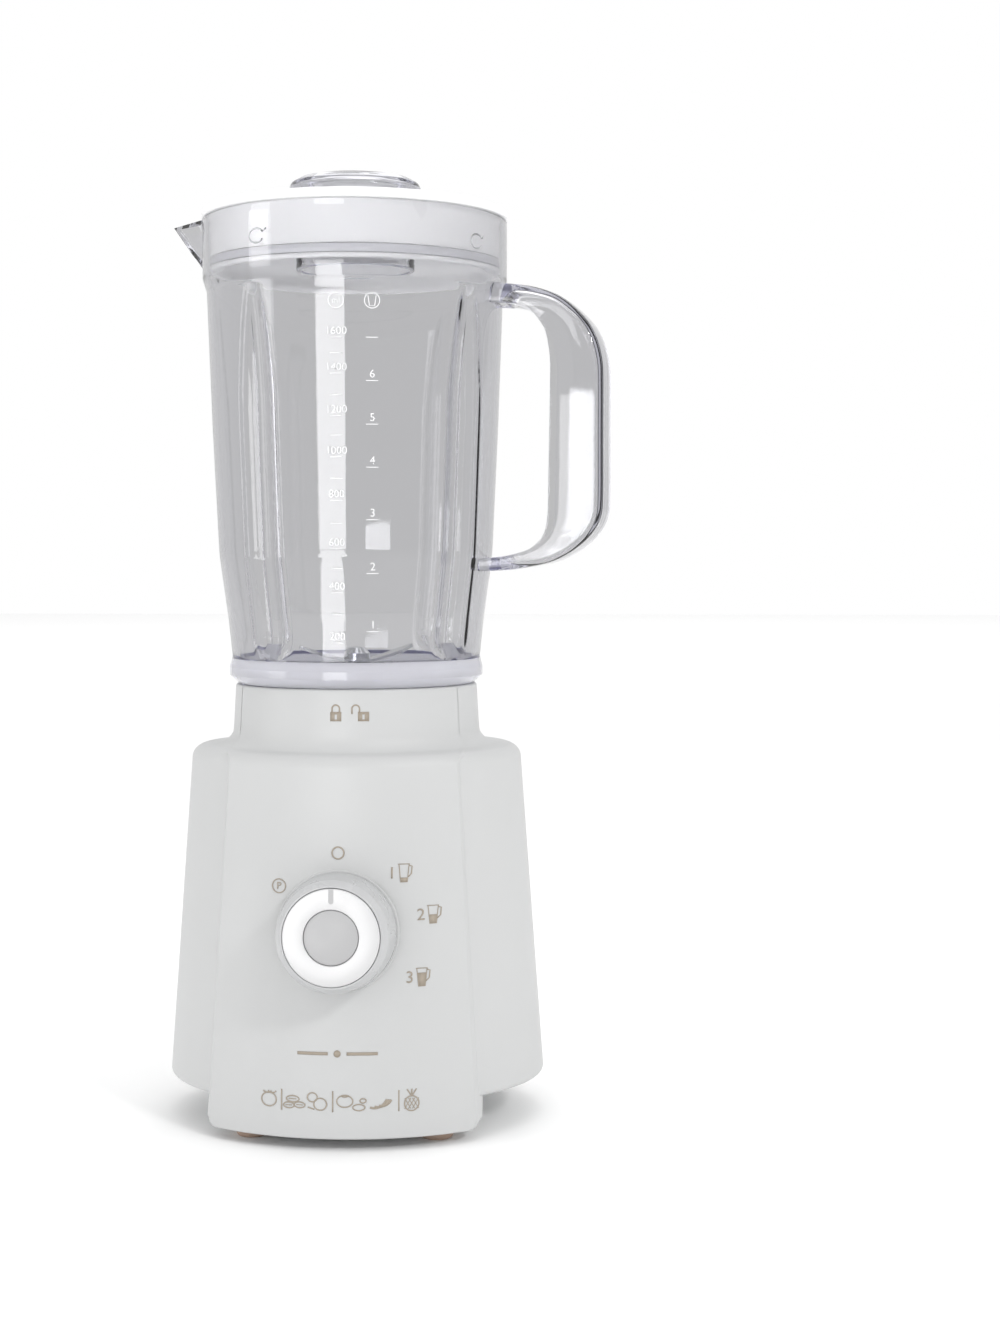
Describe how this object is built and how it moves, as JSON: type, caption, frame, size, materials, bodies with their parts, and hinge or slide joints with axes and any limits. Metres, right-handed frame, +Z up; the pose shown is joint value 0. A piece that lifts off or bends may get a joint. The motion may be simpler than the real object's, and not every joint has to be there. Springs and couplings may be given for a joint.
{
  "type": "countertop blender",
  "caption": "Countertop blender: oval motor base with a turning speed knob, clear handled jug on a bayonet seat, cross blades, push-in lid and clear measuring cap.",
  "frame": {"origin": "on the jug's axis, in the plane that the four feet stand on", "axes": "+Z up, -Y towards the front with the control knob, +X towards the jug's handle side"},
  "size_m": [0.1986, 0.1691, 0.417],
  "materials": {
    "housing_white": "fine matte off-white moulding",
    "lid_white": "smooth white moulding",
    "cover_grey": "matte light grey moulding",
    "clear_plastic": "clear moulded plastic, slight violet tint in thick edges",
    "knob_white": "satin white",
    "knob_grey": "satin mid grey",
    "foot_rubber": "soft tan rubber",
    "seal_rubber": "translucent grey silicone",
    "dark_rubber": "black rubber",
    "steel": "bright steel",
    "blade_steel": "ground stainless steel",
    "lamination": "stacked dark steel sheets",
    "copper": "enamelled copper wire",
    "brass": "plain brass",
    "carbon": "pressed carbon",
    "black_plastic": "black technical plastic",
    "nylon": "natural nylon",
    "board": "brown insulating board"
  },
  "bodies": {
    "base": {"base_housing": "housing_white", "bottom_cover": "cover_grey", "rubber_feet": "foot_rubber", "cover_screws": "steel", "switch_bushing": "brass", "speed_switch": "black_plastic", "switch_terminals": "brass", "switch_nut": "steel", "stator_stack": "lamination", "field_coils": "copper", "upper_bracket": "steel", "lower_bracket": "steel", "upper_bearing": "steel", "lower_bearing": "steel", "through_bolts": "steel", "motor_screws": "steel", "motor_dampers": "dark_rubber", "brush_plate": "board", "brush_holders": "brass", "carbon_brushes": "carbon", "suppression_capacitor": "black_plastic", "safety_microswitch": "black_plastic", "interlock_bracket": "nylon", "interlock_spring": "steel", "cord_inlet_grommet": "housing_white"},
    "knob": {"knob_body": "knob_white", "knob_ring": "knob_white", "knob_disc": "knob_grey", "switch_spindle": "nylon"},
    "motor_rotor": {"motor_shaft": "steel", "rotor_stack": "lamination", "armature_winding": "copper", "commutator": "copper", "cooling_fan": "black_plastic", "drive_socket": "nylon", "shaft_slinger": "dark_rubber"},
    "lock_ring": {"jug_lock_ring": "nylon"},
    "interlock": {"interlock_pin": "nylon", "microswitch_plunger": "black_plastic"},
    "jug": {"jug": "clear_plastic", "blade_housing": "steel", "blade_gasket": "seal_rubber", "blade_nut": "nylon", "blade_bushing": "brass", "lip_seal": "dark_rubber"},
    "blades": {"blade_shaft": "steel", "blade_spacer": "steel", "lower_blade": "blade_steel", "upper_blade": "blade_steel", "blade_cap_nut": "blade_steel", "drive_dog": "nylon"},
    "lid": {"lid": "lid_white", "lid_gasket": "seal_rubber"},
    "cap": {"filler_cap": "clear_plastic"}
  },
  "joints": [
    {"name": "knob_turn", "type": "hinge", "parent": "base", "child": "knob", "pos_m": [0, -0.06903, 0.092], "axis": [0, 0.9981, -0.0616], "range_deg": [-50, 120]},
    {"name": "motor_spin", "type": "hinge", "parent": "base", "child": "motor_rotor", "pos_m": [0, 0, 0.1], "axis": [0, 0, 1], "continuous": true},
    {"name": "jug_twist", "type": "hinge", "parent": "base", "child": "lock_ring", "pos_m": [0, 0, 0.17], "axis": [0, 0, 1], "range_deg": [-12, 0]},
    {"name": "jug_lift", "type": "slide", "parent": "lock_ring", "child": "jug", "axis": [0, 0, 1], "range_m": [0, 0.12]},
    {"name": "blade_spin", "type": "hinge", "parent": "jug", "child": "blades", "pos_m": [0, 0, 0.2], "axis": [0, 0, 1], "continuous": true},
    {"name": "lid_lift", "type": "slide", "parent": "jug", "child": "lid", "axis": [0, 0, 1], "range_m": [0, 0.06]},
    {"name": "cap_lift", "type": "slide", "parent": "lid", "child": "cap", "axis": [0, 0, 1], "range_m": [0, 0.05]},
    {"name": "interlock_press", "type": "slide", "parent": "base", "child": "interlock", "axis": [0, 0, 1], "range_m": [-0.0024, 0], "deforming": ["interlock_spring"]}
  ],
  "couplings": [
    {"joint": "blade_spin", "follows": "motor_spin", "ratio": 1},
    {"joint": "interlock_press", "follows": "jug_twist", "m_per_rad": 0.010982}
  ]
}
